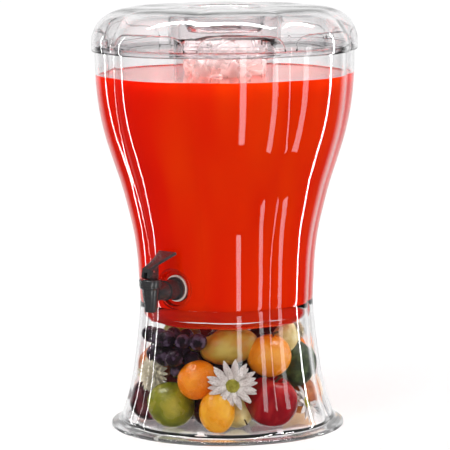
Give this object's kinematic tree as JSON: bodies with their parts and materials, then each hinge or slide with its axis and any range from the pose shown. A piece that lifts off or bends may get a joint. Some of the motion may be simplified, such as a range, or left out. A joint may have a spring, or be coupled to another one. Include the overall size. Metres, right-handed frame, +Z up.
{
  "type": "beverage dispenser",
  "caption": "Clear fluted beverage container with a lid, a hanging ice tube and a lever tap, nested in the collar of a clear hollow display base.",
  "frame": {"origin": "on the centre line of the dispenser, in the plane that the foot stands on", "axes": "+Z up along the centre line; the tap faces -Y"},
  "size_m": [0.31, 0.31, 0.49],
  "materials": {
    "clear_plastic": "clear, polished",
    "tap_plastic": "semi-gloss moulded plastic",
    "pale_silicone": "satin",
    "dark_rubber": "matt",
    "spring_steel": "bright drawn wire"
  },
  "bodies": {
    "base": {"base_shell": "clear_plastic", "base_plate": "clear_plastic"},
    "container": {"container_shell": "clear_plastic", "tap_body": "tap_plastic", "tap_outer_washer": "pale_silicone", "tap_inner_washer": "dark_rubber", "tap_nut": "tap_plastic", "tap_bonnet": "tap_plastic", "return_spring": "spring_steel"},
    "lid": {"lid_shell": "clear_plastic"},
    "ice_core": {"ice_tube": "clear_plastic"},
    "stem": {"valve_stem": "tap_plastic", "valve_seat_cup": "pale_silicone"},
    "lever": {"tap_lever": "tap_plastic", "lever_pin": "spring_steel"}
  },
  "joints": [
    {"name": "container_lift", "type": "slide", "parent": "base", "child": "container", "axis": [0, 0, 1], "range_m": [0, 0.06]},
    {"name": "lid_lift", "type": "slide", "parent": "container", "child": "lid", "axis": [0, 0, 1], "range_m": [0, 0.32]},
    {"name": "ice_tube_twist", "type": "hinge", "parent": "lid", "child": "ice_core", "pos_m": [0, 0, 0.45], "axis": [0, 0, 1], "range_deg": [0, 60]},
    {"name": "stem_lift", "type": "slide", "parent": "container", "child": "stem", "axis": [0, 0, 1], "range_m": [0, 0.003], "deforming": ["return_spring"]},
    {"name": "lever_pull", "type": "hinge", "parent": "stem", "child": "lever", "pos_m": [0, -0.1415, 0.1975], "axis": [1, 0, 0], "range_deg": [0, 60], "stiffness_Nm_per_rad": 0.05, "springref_deg": -20.05}
  ],
  "couplings": [
    {"joint": "stem_lift", "follows": "lever_pull", "m_per_rad": 0.0028647}
  ]
}
